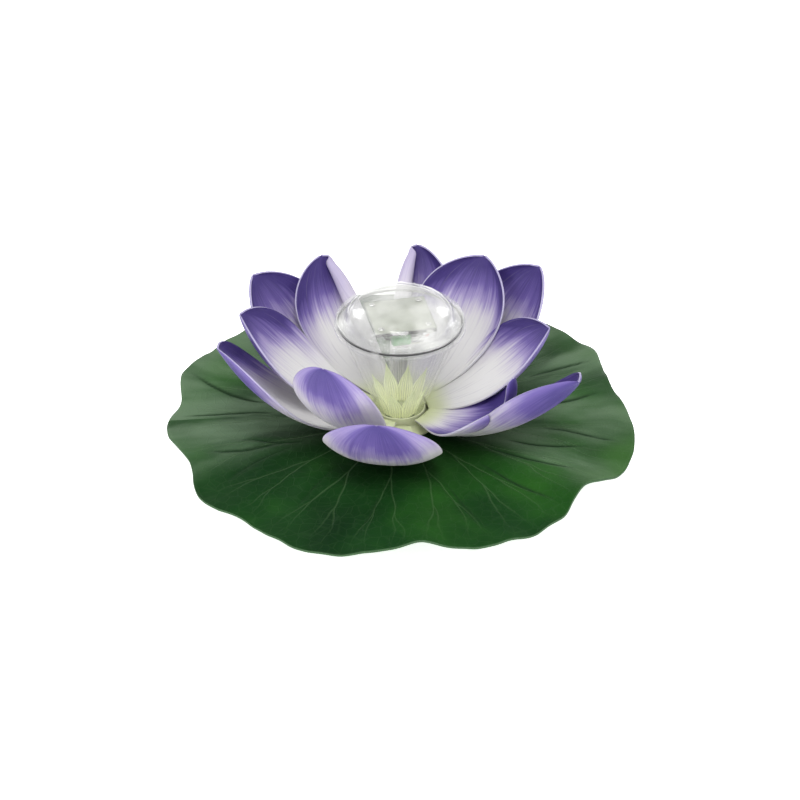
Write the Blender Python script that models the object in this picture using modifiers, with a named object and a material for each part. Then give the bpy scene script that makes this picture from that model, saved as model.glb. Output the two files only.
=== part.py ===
"""Floating solar lotus light for a pool: CAD solids.

A clear cup stands in the middle of a two-row lotus of moulded foam petals. The flower sits on a wavy
foam lily leaf with a foam float disc under it. A domed clear lid with the solar plate, the
rechargeable cell, the circuit board and the switch plugs into the top of the cup.

Metres, +Z up. The origin is the centre of the underside, on the axis of the cup. Sizes below are
millimetres and degrees, and MM turns them into metres where an object is made.
"""

import math

import bmesh
import bpy
from mathutils import Vector

MM = 0.001
OBJECT_NAME = "floating_lotus_light"

# Heights of the main levels above the underside.
FLOAT_TOP = 18.0
LEAF_BOTTOM = 18.3
LEAF_THICKNESS = 2.3
HUB_BOTTOM = 20.9
CUP_SEAT = 23.6
STAMEN_FOOT = 26.4
RIM_TOP = 87.0
TRAY_BOTTOM = 88.9
DOME_BOTTOM = 90.4

ROUND_STEPS = 48
SMALL_STEPS = 20
MERGE = 1e-6

STEM_HOLE = 9.6

# Leaf outline: mean radius, then bulges and notches as (azimuth, radial size, half width in degrees).
LEAF_RADIUS = 141.0
LEAF_LOBES = (
    (14, -8, 13), (45, 4, 16), (72, -7, 14), (93, 3, 12), (114, -7, 13), (136, 2, 9),
    (157, 3, 9), (171, -6, 7), (201, -7, 9), (218, 3, 7), (230, -3, 5), (249, 5, 9),
    (276, -8, 9), (289, 3, 8), (323, -8, 8), (345, 2, 10),
)
LEAF_SHARES = (0.0, 0.35, 0.6, 0.78, 0.9, 1.0)
LEAF_STEPS = 72
# Rise and dip of the leaf edge, in the same form.
LEAF_WAVES = (
    (14, 4, 14), (45, -2, 14), (72, 4, 14), (114, 4, 14), (140, -2, 12), (171, -3, 9),
    (201, 4, 10), (249, -1, 10), (276, 4, 12), (323, 5, 10), (345, -2, 12),
)
WAVE_POWER = 2.4

# One row of the table per petal: azimuth of the root, length, flattened width, rise of the midrib at
# root, middle and tip (degrees), curl of the clockwise and the anticlockwise half (degrees), roll,
# width of the tongue at the tip, or 0 for a plain tip.
INNER_PETALS = {
    "petal_inner_1": (10, 90, 62, (4, 34, 52), (55, 50), 0, 0),
    "petal_inner_2": (57, 103, 67, (4, 38, 64), (60, 60), 0, 0),
    "petal_inner_3": (120.5, 102, 62, (4, 38, 60), (320, 30), 0, 0),
    "petal_inner_4": (172, 102, 61, (4, 38, 59), (45, 50), 0, 0),
    "petal_inner_5": (239, 111, 62, (2, 48, 92), (38, 50), 0, 0),
    "petal_inner_6": (325, 93, 61, (6, 31, 108), (46, 90), -2, 13),
}
OUTER_PETALS = {
    "petal_outer_1": (38, 118, 67, (-7, 38, 60), (60, 60), 0, 0),
    "petal_outer_2": (84, 112, 60, (-7, 34, 60), (75, 280), 0, 0),
    "petal_outer_3": (147, 116, 70, (-7, 38, 60), (50, 55), 0, 0),
    "petal_outer_4": (192, 118, 66, (-8, 35, 64), (40, 38), 8, 0),
    "petal_outer_5": (262, 109, 74, (-9, 31, 92), (46, 46), 0, 0),
    "petal_outer_6": (332, 123, 66, (-9, 32, 60), (78, 62), -15, 0),
}
# The first named keeps its whole outline where two petals meet, and the later one stops short of it.
PETAL_ORDER = (
    "petal_inner_1", "petal_inner_2", "petal_inner_4", "petal_inner_3", "petal_inner_6",
    "petal_inner_5", "petal_outer_2", "petal_outer_1", "petal_outer_3", "petal_outer_6",
    "petal_outer_4", "petal_outer_5",
)
INNER_ROOT = (16.6, 28.2)
OUTER_ROOT = (16.2, 24.9)
PETAL_THICKNESS = 1.8
PETAL_CLEARANCE = 0.45
PETAL_ROWS = 12
PETAL_COLUMNS = 9
FINE_STEPS = 8
WIDEST_AT = 0.64
BELL_RISE = 1.15
ROOT_SHARE = 0.24
TIP_WIDTH = 1.6
TONGUE_SHARE = 0.2
TONGUE_ROUND = 0.86
# Half a petal bends more and more towards its edge, and a half whose curl is large rolls over.
CURL_POWER = 1.4
ROLL_POWER = 1.6
ROLLS_OVER = 120.0
TIGHTEST_CURL = 2.9
ARC_STEPS = 12
NEIGHBOUR_GAP = 80.0

STAMEN_LEAFLETS = 12
STAMEN_RADIUS = 8.8
STAMEN_HEIGHT = 25.0
STAMEN_NOTCH = 4.0
STAMEN_THICKNESS = 1.0

NUT_STEPS = 36
NUT_GRIPS = 8
CELL_STEPS = 28

# The solar plate is turned a little about the axis of the cup.
PANEL_TURN = 12.0
PANEL_SIDE = 37.0
SCREW_REACH = 14.2
TAB_AZIMUTH = -112.0
CELL_Y = -12.4
CELL_Z = 84.4
SWITCH_Y = 9.6
WIRE_Y = 10.5
WIRE_RADIUS = 0.5

# Each look is a colour with its roughness and its metallic share.
LOOKS = {
    "clear": ((0.86, 0.90, 0.88, 1.0), 0.12, 0.0),
    "petal": ((0.55, 0.48, 0.78, 1.0), 0.75, 0.0),
    "leaf": ((0.05, 0.16, 0.05, 1.0), 0.55, 0.0),
    "foam": ((0.10, 0.22, 0.10, 1.0), 0.85, 0.0),
    "nut": ((0.04, 0.04, 0.045, 1.0), 0.6, 0.0),
    "hub": ((0.45, 0.55, 0.20, 1.0), 0.5, 0.0),
    "stamen": ((0.62, 0.78, 0.22, 1.0), 0.35, 0.0),
    "rubber": ((0.05, 0.05, 0.05, 1.0), 0.8, 0.0),
    "panel": ((0.66, 0.68, 0.62, 1.0), 0.2, 0.0),
    "steel": ((0.75, 0.75, 0.75, 1.0), 0.25, 1.0),
    "sleeve": ((0.10, 0.50, 0.12, 1.0), 0.3, 0.0),
    "nickel": ((0.72, 0.72, 0.72, 1.0), 0.3, 1.0),
    "board": ((0.05, 0.25, 0.10, 1.0), 0.45, 0.0),
    "lamp": ((0.95, 0.95, 0.88, 1.0), 0.1, 0.0),
    "tin": ((0.70, 0.70, 0.70, 1.0), 0.35, 1.0),
    "black": ((0.03, 0.03, 0.03, 1.0), 0.6, 0.0),
    "red": ((0.60, 0.04, 0.03, 1.0), 0.5, 0.0),
}


def clear_scene():
    for item in list(bpy.data.objects):
        bpy.data.objects.remove(item, do_unlink=True)


def new_collection(name):
    collection = bpy.data.collections.new(name)
    bpy.context.scene.collection.children.link(collection)
    return collection


def new_material(name, look):
    colour, roughness, metallic = LOOKS[look]
    made = bpy.data.materials.new(name)
    made.use_nodes = True
    surface = made.node_tree.nodes["Principled BSDF"]
    surface.inputs["Base Color"].default_value = colour
    surface.inputs["Roughness"].default_value = roughness
    surface.inputs["Metallic"].default_value = metallic
    return made


def put(item, collection, parent, location, turn):
    """Links an object and places it in its parent: millimetres and degrees."""
    collection.objects.link(item)
    item.parent = parent
    item.location = Vector(location) * MM
    item.rotation_euler = [math.radians(angle) for angle in turn]
    return item


def add_empty(name, parent=None, turn=(0, 0, 0)):
    return put(bpy.data.objects.new(name, None), PARTS, parent, (0, 0, 0), turn)


def add_part(name, data, look, parent, location=(0, 0, 0), turn=(0, 0, 0)):
    data.materials.append(new_material(name, look))
    return put(bpy.data.objects.new(name, data), PARTS, parent, location, turn)


def add_cutter(name, mesh, parent, location=(0, 0, 0), turn=(0, 0, 0)):
    """A helper that other parts are cut by or joined with. It isn't a part."""
    helper = put(bpy.data.objects.new(name, mesh), CUTTERS, parent, location, turn)
    helper.hide_render = True
    helper.display_type = "WIRE"
    return helper


def combine(part, helper, operation="DIFFERENCE"):
    modifier = part.modifiers.new(operation.lower(), "BOOLEAN")
    modifier.solver = "EXACT"
    modifier.operation = operation
    modifier.object = helper


def finish_mesh(shell, name):
    """Turns a bmesh into a mesh, shaded smooth except at its corners."""
    mesh = bpy.data.meshes.new(name)
    shell.to_mesh(mesh)
    shell.free()
    mesh.shade_smooth()
    mesh.set_sharp_from_angle(angle=math.radians(40.0))
    return mesh


def box_mesh(name, size):
    shell = bmesh.new()
    bmesh.ops.create_cube(shell, size=MM)
    bmesh.ops.scale(shell, vec=size, verts=shell.verts)
    return finish_mesh(shell, name)


def cylinder_mesh(name, radius, depth, steps=SMALL_STEPS):
    shell = bmesh.new()
    bmesh.ops.create_cone(
        shell, cap_ends=True, segments=steps, radius1=radius * MM, radius2=radius * MM, depth=depth * MM
    )
    return finish_mesh(shell, name)


def round_edges(part, width):
    bevel = part.modifiers.new("round_edges", "BEVEL")
    bevel.width = width * MM
    bevel.segments = 2
    bevel.limit_method = "ANGLE"


def profile_line(name, profile, closed=False):
    """A line of (radius, height) points at +X, which a Screw modifier can turn."""
    points = [(radius * MM, 0.0, height * MM) for radius, height in profile]
    edges = [(index, index + 1) for index in range(len(points) - 1)]
    if closed:
        edges.append((len(points) - 1, 0))
    mesh = bpy.data.meshes.new(name)
    mesh.from_pydata(points, edges, [])
    return mesh


def spin(part, steps):
    """Turns the part's profile once round its Z axis."""
    screw = part.modifiers.new("spin", "SCREW")
    screw.axis = "Z"
    screw.steps = steps
    screw.render_steps = steps
    screw.use_merge_vertices = True
    screw.merge_threshold = MERGE
    screw.use_smooth_shade = True


def add_turned(name, profile, look, parent, steps=ROUND_STEPS, location=(0, 0, 0), turn=(0, 0, 0)):
    """A closed solid of revolution, whose profile starts on the axis or else closes into a loop."""
    line = profile_line(name, profile, closed=profile[0][0] > 0)
    part = add_part(name, line, look, parent, location, turn)
    spin(part, steps)
    return part


def thicken(part, thickness, offset):
    """Gives an open sheet a thickness: offset 1 grows it along its normals, 0 to both sides."""
    shell = part.modifiers.new("thickness", "SOLIDIFY")
    shell.thickness = thickness * MM
    shell.offset = offset


def ring_place(radius, azimuth, height):
    turn = math.radians(azimuth)
    return (radius * math.cos(turn), radius * math.sin(turn), height)


def apply_modifiers(part):
    """Turns the evaluated shape of a part into its own mesh."""
    bpy.context.view_layer.update()
    graph = bpy.context.evaluated_depsgraph_get()
    shaped = bpy.data.meshes.new_from_object(part.evaluated_get(graph))
    part.modifiers.clear()
    part.data = shaped


def island_of(start):
    """The vertices joined to one vertex by edges."""
    island, front = {start}, [start]
    while front:
        vertex = front.pop()
        for edge in vertex.link_edges:
            other = edge.other_vert(vertex)
            if other not in island:
                island.add(other)
                front.append(other)
    return island


def keep_largest_island(mesh):
    """Drops the loose pieces that a cut leaves behind."""
    shell = bmesh.new()
    shell.from_mesh(mesh)
    left = set(shell.verts)
    islands = []
    while left:
        island = island_of(next(iter(left)))
        left -= island
        islands.append(island)
    largest = max(islands, key=len)
    spare = [vertex for vertex in shell.verts if vertex not in largest]
    bmesh.ops.delete(shell, geom=spare, context="VERTS")
    shell.to_mesh(mesh)
    shell.free()


def lobe_sum(azimuth, lobes):
    """The sum of bell-shaped bumps at this azimuth, all in degrees round the leaf."""
    total = 0.0
    for centre, size, width in lobes:
        away = (azimuth - centre + 180.0) % 360.0 - 180.0
        total += size * math.exp(-((away / width) ** 2))
    return total


def build_base(flower):
    float_profile = (
        (STEM_HOLE, FLOAT_TOP), (53.5, FLOAT_TOP), (55.0, 16.5), (55.0, 1.5), (53.5, 0.0), (25.0, 0.0),
        (25.0, 5.6), (STEM_HOLE, 5.6),
    )
    add_turned("float_disc", float_profile, "foam", flower)
    nut_profile = (
        (0.0, 0.9), (9.35, 0.9), (9.35, 5.2), (23.4, 5.2), (24.2, 4.4), (24.2, 0.8), (23.4, 0.0),
        (0.0, 0.0),
    )
    nut = add_turned("base_nut", nut_profile, "nut", flower, NUT_STEPS)
    for index in range(NUT_GRIPS):
        azimuth = 360.0 * (index + 0.5) / NUT_GRIPS
        grip = add_cutter(
            f"grip_{index}", box_mesh("grip", (2.4, 2.4, 8.0)), flower,
            ring_place(24.6, azimuth, 2.6), (0, 0, azimuth),
        )
        combine(nut, grip)
    hub_profile = (
        (9.35, CUP_SEAT), (12.7, CUP_SEAT), (12.7, 24.2), (14.45, 29.0), (14.75, 29.4), (15.3, 29.0),
        (15.3, 23.0), (15.6, 22.4), (24.0, 21.7), (24.0, HUB_BOTTOM), (9.35, HUB_BOTTOM),
    )
    add_turned("petal_hub", hub_profile, "hub", flower)


def build_leaf(flower):
    """A flat ring, then its outline lobed and its edge waved, then given its thickness."""
    spokes = [(STEM_HOLE + (LEAF_RADIUS - STEM_HOLE) * share, 0.0) for share in LEAF_SHARES]
    leaf = add_part(
        "leaf_pad", profile_line("leaf_pad", spokes), "leaf", flower, (0, 0, LEAF_BOTTOM)
    )
    spin(leaf, LEAF_STEPS)
    apply_modifiers(leaf)
    for vertex in leaf.data.vertices:
        azimuth = math.degrees(math.atan2(vertex.co.y, vertex.co.x))
        share = (math.hypot(vertex.co.x, vertex.co.y) / MM - STEM_HOLE) / (LEAF_RADIUS - STEM_HOLE)
        radius = STEM_HOLE + (LEAF_RADIUS + lobe_sum(azimuth, LEAF_LOBES) - STEM_HOLE) * share
        lift = lobe_sum(azimuth, LEAF_WAVES) * max(share, 0.0) ** WAVE_POWER
        vertex.co = Vector(ring_place(radius, azimuth, lift)) * MM
    thicken(leaf, LEAF_THICKNESS, 1.0)


def petal_width(share, widest, tongue):
    """Flattened width of a petal at a share of its length; a tongue carries it on past a shorter blade."""
    reach = share / (1 - TONGUE_SHARE) if tongue else share
    fall = BELL_RISE * (1 - WIDEST_AT) / WIDEST_AT
    bell = (reach / WIDEST_AT) ** BELL_RISE * (max(1 - reach, 0.0) / (1 - WIDEST_AT)) ** fall
    root = ROOT_SHARE * (1 - share)
    blade = widest * (root + (1 - root) * bell)
    if not tongue:
        return max(blade, TIP_WIDTH)
    rounding = max(share - TONGUE_ROUND, 0.0) / (1 - TONGUE_ROUND)
    end = tongue * math.sqrt(1 - rounding**4)
    return max((blade**4 + end**4) ** 0.25, TIP_WIDTH)


def midrib(shape):
    """Stations along the middle of a petal that grows along +X: (share, point, side, up)."""
    _, length, _, rise, _, roll, _ = shape
    fine = FINE_STEPS * (PETAL_ROWS - 1)
    point = Vector((0.0, 0.0, 0.0))
    stations = []
    for step in range(fine + 1):
        share = step / fine
        angle = math.radians(
            rise[0] * (1 - share) * (1 - 2 * share)
            + 4 * rise[1] * share * (1 - share)
            + rise[2] * share * (2 * share - 1)
        )
        along = Vector((math.cos(angle), 0.0, math.sin(angle)))
        upward = Vector((-math.sin(angle), 0.0, math.cos(angle)))
        lean = math.radians(roll) * (1 - (1 - share) ** 2)
        side = Vector((0.0, math.cos(lean), 0.0)) + upward * math.sin(lean)
        up = upward * math.cos(lean) - Vector((0.0, math.sin(lean), 0.0))
        if step % FINE_STEPS == 0:
            stations.append((share, point.copy(), side, up))
        point += along * (length / fine)
    return stations


def petal_point(station, place, shape, margin):
    """The point of a petal at a station of its midrib, with place from -1 to 1 across it."""
    share, point, side, up = station
    width = petal_width(share, shape[2] + 2 * margin, shape[6])
    edge_curl = shape[4][0] if place < 0 else shape[4][1]
    power = ROLL_POWER if edge_curl > ROLLS_OVER else CURL_POWER
    grown = math.sin(0.5 * math.pi * (0.15 + 0.85 * share))
    curl = min(math.radians(edge_curl) * grown, width / 2 / TIGHTEST_CURL)
    across, rise = 0.0, 0.0
    arc = abs(place) * width / 2 / ARC_STEPS
    for step in range(ARC_STEPS):
        angle = curl * ((step + 0.5) / ARC_STEPS * abs(place)) ** power
        across += math.cos(angle) * arc
        rise += math.sin(angle) * arc
    return point + side * math.copysign(across, place) + up * rise


def petal_sheet(name, shape, margin):
    """The open middle surface of a petal, wider by the margin on both sides."""
    sheet = bmesh.new()
    bmesh.ops.create_grid(sheet, x_segments=PETAL_ROWS - 1, y_segments=PETAL_COLUMNS - 1, size=1.0)
    stations = midrib(shape)
    for vertex in sheet.verts:
        station = stations[round((vertex.co.x + 1.0) / 2.0 * (PETAL_ROWS - 1))]
        place = max(-1.0, min(1.0, vertex.co.y))
        vertex.co = petal_point(station, place, shape, margin) * MM
    return finish_mesh(sheet, name)


def petal_root(name, azimuth):
    """Location and turn of a petal on the hub."""
    radius, height = INNER_ROOT if name in INNER_PETALS else OUTER_ROOT
    return ring_place(radius, azimuth, height), (0, 0, azimuth)


def azimuth_gap(first, second):
    return abs((first - second + 180.0) % 360.0 - 180.0)


def build_petals(flower):
    """Each petal stops a small gap short of the petals that lie over it."""
    shapes = {**INNER_PETALS, **OUTER_PETALS}
    for order, name in enumerate(PETAL_ORDER):
        shape = shapes[name]
        petal = add_part(name, petal_sheet(name, shape, 0.0), "petal", flower, *petal_root(name, shape[0]))
        thicken(petal, PETAL_THICKNESS, 0.0)
        for other in PETAL_ORDER[:order]:
            if azimuth_gap(shape[0], shapes[other][0]) > NEIGHBOUR_GAP:
                continue
            wide = add_cutter(
                f"gap_{name}_{other}", petal_sheet(other, shapes[other], PETAL_CLEARANCE), flower,
                *petal_root(other, shapes[other][0]),
            )
            thicken(wide, PETAL_THICKNESS + 2 * PETAL_CLEARANCE, 0.0)
            combine(petal, wide)
            apply_modifiers(petal)
            keep_largest_island(petal.data)


def build_cup(flower):
    profile = (
        (0.0, 26.0), (9.6, 26.0), (11.0, 27.4), (16.2, 40.0), (25.2, 63.4), (32.6, 82.6),
        (33.2, 84.6), (34.2, RIM_TOP), (38.7, RIM_TOP), (39.1, 86.6), (39.1, 85.2), (38.8, 84.8),
        (35.2, 84.4), (34.4, 82.6), (27.0, 63.0), (18.0, 39.5), (12.3, 24.4), (12.0, 23.9),
        (9.0, 23.9), (9.0, 1.8), (8.4, 1.2), (0.0, 1.2),
    )
    cup = add_turned("cup", profile, "clear", flower)
    notch = add_cutter(
        "rim_notch", box_mesh("rim_notch", (5.0, 3.0, 3.0)), flower,
        ring_place(39.2, TAB_AZIMUTH, RIM_TOP), (0, 0, TAB_AZIMUTH + 90.0),
    )
    combine(cup, notch)


def build_stamens(flower):
    """A ring of pointed leaflets that stands inside the cup, round the light."""
    slope = [(STAMEN_RADIUS, STAMEN_HEIGHT * share) for share in (0.0, 0.35, 0.7, 1.0)]
    crown = add_part(
        "stamen_crown", profile_line("stamen_crown", slope), "stamen", flower, (0, 0, STAMEN_FOOT)
    )
    spin(crown, 4 * STAMEN_LEAFLETS)
    apply_modifiers(crown)
    for vertex in crown.data.vertices:
        azimuth = math.degrees(math.atan2(vertex.co.y, vertex.co.x))
        from_point = abs((azimuth * STAMEN_LEAFLETS / 360.0) % 1.0 - 0.5) * 2.0
        top = STAMEN_NOTCH + (STAMEN_HEIGHT - STAMEN_NOTCH) * (1.0 - from_point) ** 1.15
        climb = top * vertex.co.z / (STAMEN_HEIGHT * MM)
        vertex.co = Vector(ring_place(STAMEN_RADIUS + 0.30 * climb, azimuth, climb)) * MM
    thicken(crown, STAMEN_THICKNESS, 1.0)


def build_dome(lid):
    profile = (
        (0.0, 104.4), (10.5, 104.1), (17.3, 103.4), (20.6, 102.7), (24.8, 101.0), (28.6, 98.9),
        (31.3, 96.0), (32.8, 92.8), (33.3, 92.0), (37.4, 91.7), (38.0, 91.2), (38.0, DOME_BOTTOM),
        (31.8, DOME_BOTTOM), (31.4, 92.4), (29.9, 95.2), (27.5, 97.8), (24.2, 99.7), (20.2, 101.3),
        (17.0, 102.0), (10.5, 102.7), (0.0, 103.0),
    )
    add_turned("lid_dome", profile, "clear", lid)


def corner_places():
    """The four screw places of the solar plate, in its own turned frame."""
    return [(x, y) for x in (-SCREW_REACH, SCREW_REACH) for y in (-SCREW_REACH, SCREW_REACH)]


def build_tray(lid, panel_frame):
    """The floor of the lid, with the skirt that plugs into the cup and four posts for the plate."""
    profile = (
        (0.0, 90.1), (38.0, 90.1), (38.3, 89.8), (38.3, 89.2), (38.0, TRAY_BOTTOM),
        (30.9, TRAY_BOTTOM), (30.7, 81.8), (30.3, 81.2), (29.4, 81.2), (29.0, 81.6),
        (29.0, TRAY_BOTTOM), (0.0, TRAY_BOTTOM),
    )
    tray = add_turned("lid_tray", profile, "clear", lid)
    tab = add_cutter(
        "pry_tab", box_mesh("pry_tab", (5.0, 3.4, 1.0)), lid,
        ring_place(39.0, TAB_AZIMUTH, 89.5), (0, 0, TAB_AZIMUTH + 90.0),
    )
    combine(tray, tab, "UNION")
    for index, (x, y) in enumerate(corner_places()):
        post = add_cutter(f"post_{index}", cylinder_mesh("post", 2.2, 1.6), panel_frame, (x, y, 90.4))
        combine(tray, post, "UNION")
    hole = add_cutter("wire_hole", cylinder_mesh("wire_hole", 2.6, 3.0), panel_frame, (0, WIRE_Y, 89.5))
    combine(tray, hole)


def build_seal(lid):
    """A round rubber ring between the rim of the cup and the tray."""
    bpy.ops.mesh.primitive_torus_add(
        major_radius=36.9 * MM, minor_radius=0.7 * MM, major_segments=ROUND_STEPS, minor_segments=8
    )
    made = bpy.context.active_object
    ring = made.data
    bpy.data.objects.remove(made)
    ring.shade_smooth()
    add_part("lid_seal", ring, "rubber", lid, (0, 0, 87.95))


def build_panel(panel_frame):
    panel = add_part(
        "solar_panel", box_mesh("solar_panel", (PANEL_SIDE, PANEL_SIDE, 1.5)), "panel", panel_frame,
        (0, 0, 92.25),
    )
    round_edges(panel, 0.25)
    screw_profile = (
        (0.0, 94.35), (1.2, 94.2), (1.9, 93.7), (1.9, 93.25), (0.85, 93.25), (0.85, 91.4), (0.0, 91.4),
    )
    for index, (x, y) in enumerate(corner_places(), start=1):
        hole = add_cutter(
            f"screw_hole_{index}", cylinder_mesh("screw_hole", 1.15, 3.0), panel_frame, (x, y, 92.5)
        )
        combine(panel, hole)
        add_turned(
            f"panel_screw_{index}", screw_profile, "steel", panel_frame, SMALL_STEPS, (x, y, 0)
        )


def build_battery(panel_frame):
    """A short round cell that lies along the plate's X axis, with its contact cap."""
    lying = (0, 90, 0)
    cell = add_part(
        "battery", cylinder_mesh("battery", 4.1, 11.0, CELL_STEPS), "sleeve", panel_frame,
        (-2.2, CELL_Y, CELL_Z), lying,
    )
    round_edges(cell, 0.4)
    cap_profile = (
        (0.0, 4.6), (1.4, 4.6), (1.4, 3.7), (3.5, 3.7), (3.9, 3.3), (3.9, -3.3), (3.5, -3.7),
        (0.0, -3.7),
    )
    add_turned("battery_cap", cap_profile, "nickel", panel_frame, CELL_STEPS, (7.4, CELL_Y, CELL_Z), lying)


def build_electrics(panel_frame):
    add_part(
        "circuit_board", box_mesh("circuit_board", (27.0, 18.0, 1.2)), "board", panel_frame, (0, 5.0, 87.4)
    )
    lamp_profile = (
        (0.0, 86.5), (2.9, 86.5), (2.9, 85.5), (2.45, 85.4), (2.45, 81.2), (2.2, 80.0), (1.6, 79.1),
        (0.8, 78.7), (0.0, 78.6),
    )
    add_turned("led_lamp", lamp_profile, "lamp", panel_frame, SMALL_STEPS)


def build_switch(panel_frame):
    """The slider's origin lies on the line that it slides along, which is the plate's X axis."""
    body = add_part(
        "switch_body", box_mesh("switch_body", (9.0, 4.6, 3.4)), "tin", panel_frame, (0, SWITCH_Y, 84.9)
    )
    round_edges(body, 0.2)
    slot = add_cutter(
        "switch_slot", box_mesh("switch_slot", (6.2, 2.4, 2.4)), panel_frame, (0, SWITCH_Y, 83.2)
    )
    combine(body, slot)
    slider = add_part(
        "switch_slider", box_mesh("switch_slider", (2.6, 1.6, 3.6)), "black", panel_frame,
        (-1.3, SWITCH_Y, 82.4),
    )
    round_edges(slider, 0.2)


def add_wire(name, points, look, parent):
    """An insulated wire through the points, with closed ends."""
    wire = bpy.data.curves.new(name, "CURVE")
    wire.dimensions = "3D"
    wire.bevel_depth = WIRE_RADIUS * MM
    wire.bevel_resolution = 2
    wire.use_fill_caps = True
    run = wire.splines.new("POLY")
    run.points.add(len(points) - 1)
    for place, point in zip(run.points, points):
        place.co = (*(Vector(point) * MM), 1.0)
    add_part(name, wire, look, parent)


def build_wires(panel_frame):
    for name, x, look in (("wire_panel_pos", -0.9, "red"), ("wire_panel_neg", 0.9, "black")):
        add_wire(name, ((x, WIRE_Y, 91.2), (x, WIRE_Y, 89.6), (x, WIRE_Y, 88.35)), look, panel_frame)
    cell_pos = (
        (12.9, CELL_Y, CELL_Z), (14.6, -11.8, 84.6), (15.2, -9.0, 86.4), (14.9, -5.4, 87.4),
        (14.2, -2.4, 87.5),
    )
    cell_neg = (
        (-8.1, CELL_Y, CELL_Z), (-10.6, -11.6, 84.6), (-12.6, -9.0, 85.2), (-12.8, -6.0, 86.2),
        (-12.8, -4.6, 87.1),
    )
    add_wire("wire_cell_pos", cell_pos, "red", panel_frame)
    add_wire("wire_cell_neg", cell_neg, "black", panel_frame)


def build_flower():
    flower = add_empty("flower")
    build_base(flower)
    build_leaf(flower)
    build_petals(flower)
    build_cup(flower)
    build_stamens(flower)


def build_lid():
    """The lid lifts off along Z, and everything square in it is turned with the solar plate."""
    lid = add_empty("lid")
    panel_frame = add_empty("panel_frame", lid, (0, 0, PANEL_TURN))
    build_dome(lid)
    build_tray(lid, panel_frame)
    build_seal(lid)
    build_panel(panel_frame)
    build_battery(panel_frame)
    build_electrics(panel_frame)
    build_switch(panel_frame)
    build_wires(panel_frame)


clear_scene()
PARTS = new_collection(OBJECT_NAME)
CUTTERS = new_collection("cutters")
CUTTERS.hide_render = True
build_flower()
build_lid()
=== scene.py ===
"""Looks of a floating solar lotus light: foam petals and leaf, clear cup and lid, and what they hold.

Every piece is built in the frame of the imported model, in metres with +Z up. Sizes in the tables below
are millimetres and degrees, and MM turns them into metres.
"""

from math import atan2, copysign, cos, degrees, exp, hypot, pi, radians, sin, sqrt

import bmesh
import bpy
from mathutils import Matrix, Vector, noise


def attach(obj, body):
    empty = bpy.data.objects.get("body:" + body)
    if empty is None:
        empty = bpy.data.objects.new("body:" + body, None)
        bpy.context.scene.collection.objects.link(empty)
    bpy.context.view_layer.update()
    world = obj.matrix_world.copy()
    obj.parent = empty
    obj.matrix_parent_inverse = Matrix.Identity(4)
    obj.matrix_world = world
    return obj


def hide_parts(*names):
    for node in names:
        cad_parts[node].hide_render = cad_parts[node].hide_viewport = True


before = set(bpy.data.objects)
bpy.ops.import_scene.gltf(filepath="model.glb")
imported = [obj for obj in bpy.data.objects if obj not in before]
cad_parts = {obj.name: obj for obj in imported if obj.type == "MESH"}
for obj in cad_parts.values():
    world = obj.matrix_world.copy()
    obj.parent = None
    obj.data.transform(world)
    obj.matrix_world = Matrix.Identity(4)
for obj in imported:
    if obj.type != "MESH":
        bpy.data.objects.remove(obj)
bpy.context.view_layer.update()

MM = 0.001

# Camera, on the side of the lowest petal.
TARGET = (0.0, 0.0, 0.033)
DISTANCE = 1.8
ELEVATION = 33.1
LENS = 134.5
# Name, place in metres, power in watts and side in metres.
LIGHTS = (
    ("overhead", (0.0, -0.65, 1.5), 12.0, 0.7),
    ("front_left", (-1.1, -1.0, 1.0), 9.0, 0.9),
    ("front_right", (1.2, -0.7, 0.8), 5.0, 0.9),
    ("back_left", (-1.0, 1.0, 0.9), 4.0, 0.5),
    ("back_right", (1.0, 1.1, 0.8), 4.0, 0.5),
)

# Leaf outline: mean radius, then bulges and notches as (azimuth, radial size, half width in degrees).
STEM_HOLE = 9.6
LEAF_RADIUS = 141.0
LEAF_LOBES = (
    (14, -8, 13), (45, 4, 16), (72, -7, 14), (93, 3, 12), (114, -7, 13), (136, 2, 9),
    (157, 3, 9), (171, -6, 7), (201, -7, 9), (218, 3, 7), (230, -3, 5), (249, 5, 9),
    (276, -8, 9), (289, 3, 8), (323, -8, 8), (345, 2, 10),
)
# Rise and dip of the leaf edge, in the same form.
LEAF_WAVES = (
    (14, 4, 14), (45, -2, 14), (72, 4, 14), (114, 4, 14), (140, -2, 12), (171, -3, 9),
    (201, 4, 10), (249, -1, 10), (276, 4, 12), (323, 5, 10), (345, -2, 12),
)
# Shallow creases that run outwards: azimuth at the inner and outer end, shares of the radius where
# they start and stop, depth and half width in millimetres.
LEAF_CREASES = (
    (176, 178, 0.50, 0.97, 1.6, 2.4), (206, 194, 0.40, 0.72, 1.5, 2.2), (204, 199, 0.52, 0.90, 1.8, 2.6),
    (208, 214, 0.45, 0.85, 1.2, 2.2), (168, 158, 0.55, 0.97, 1.7, 2.6), (236, 238, 0.42, 0.80, 0.8, 2.0),
    (262, 258, 0.50, 0.92, 0.8, 2.0), (290, 294, 0.45, 0.90, 0.8, 2.0), (312, 316, 0.42, 0.95, 1.2, 2.2),
    (326, 332, 0.40, 0.85, 1.7, 2.4), (338, 346, 0.42, 0.80, 1.6, 2.2), (352, 350, 0.55, 0.95, 1.3, 2.4),
    (8, 12, 0.50, 0.95, 1.4, 2.6), (30, 27, 0.60, 0.97, 1.4, 2.6), (52, 56, 0.45, 0.95, 1.4, 2.6),
    (80, 84, 0.50, 0.92, 1.4, 2.6), (104, 101, 0.45, 0.95, 1.4, 2.6), (128, 131, 0.50, 0.95, 1.4, 2.6),
)
CREASE_DEPTH = 1.5
CREASE_BEND = 1.7
FRONT_AZIMUTH = 266.0
VEIN_COUNT = 17
UNDERSIDE_RIBS = 20
LEAF_MIDDLE = 19.45
LEAF_THICKNESS = 1.5
LEAF_AROUND = 540
LEAF_RINGS = 64
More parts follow.
